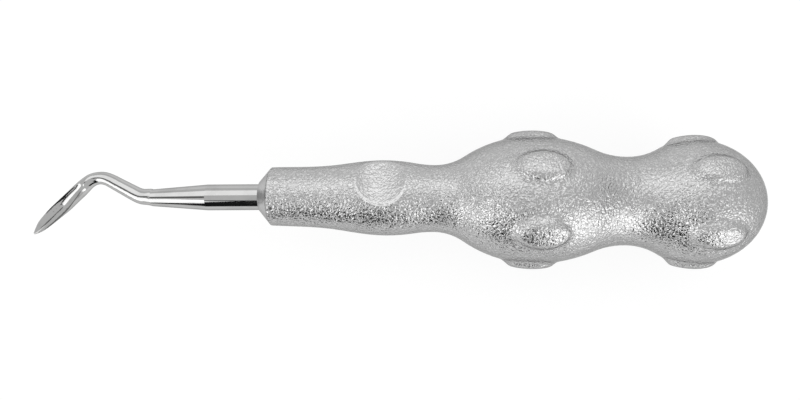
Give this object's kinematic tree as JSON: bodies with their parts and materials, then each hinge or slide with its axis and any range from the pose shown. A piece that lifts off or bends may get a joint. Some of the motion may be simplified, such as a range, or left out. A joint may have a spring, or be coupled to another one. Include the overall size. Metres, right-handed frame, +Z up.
{
  "type": "dental elevator",
  "caption": "Hand instrument for loosening teeth: a slim steel shank with a bent neck and a hollow-ground pointed blade, bonded into a bulbous grained handle with raised finger pads.",
  "frame": {"origin": "under the middle of the part's box, on the surface that it lies on", "axes": "+X along the handle from the mouth towards its rounded rear end, +Z up, the way the hollow of the blade faces; the neck bends towards +Y and the blade comes back towards -Y"},
  "size_m": [0.1578, 0.03, 0.028],
  "materials": {
    "polished_steel": "mirror-polished stainless steel",
    "grained_alloy": "bright cast metal with a fine raised grain"
  },
  "bodies": {
    "root": {"working_end": "polished_steel", "handle": "grained_alloy"}
  },
  "joints": []
}
